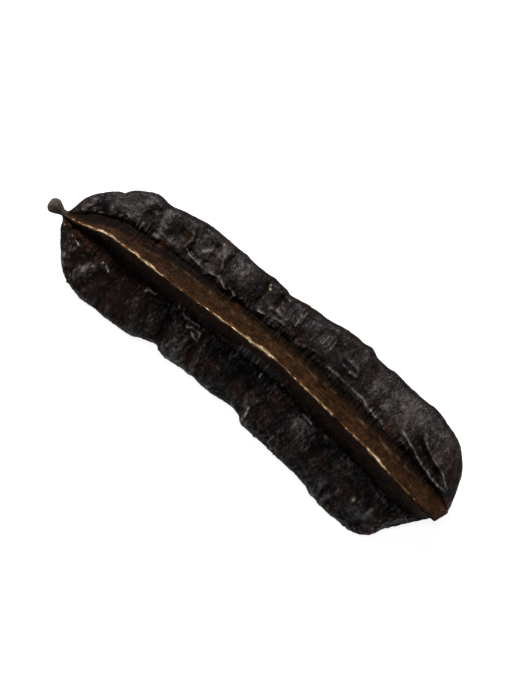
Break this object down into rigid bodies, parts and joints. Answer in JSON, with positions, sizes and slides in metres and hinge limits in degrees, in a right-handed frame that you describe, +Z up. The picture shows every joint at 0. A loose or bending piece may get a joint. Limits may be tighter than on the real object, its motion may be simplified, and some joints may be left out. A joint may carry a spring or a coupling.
{
  "type": "seed pod",
  "caption": "Dried aridan pod: a long, dark fruit with hard, thin-crested keels, broad wrinkled fleshy wings with a lobed edge, and a short knobbed stalk. It lies as it rests.",
  "frame": {"origin": "middle of the bottom of the pod's bounding box, on the surface that it rests on", "axes": "+X from the stalk to the tip, +Z up with the pod lying as it rests, +Y towards the fleshy wing that stands clear of the surface"},
  "size_m": [0.2072, 0.065, 0.0294],
  "materials": {
    "dried_pod_skin": "dried fruit skin, near black with a dull leathery shine; brown and matt on the keels"
  },
  "bodies": {
    "root": {"pod": "dried_pod_skin"}
  },
  "joints": []
}
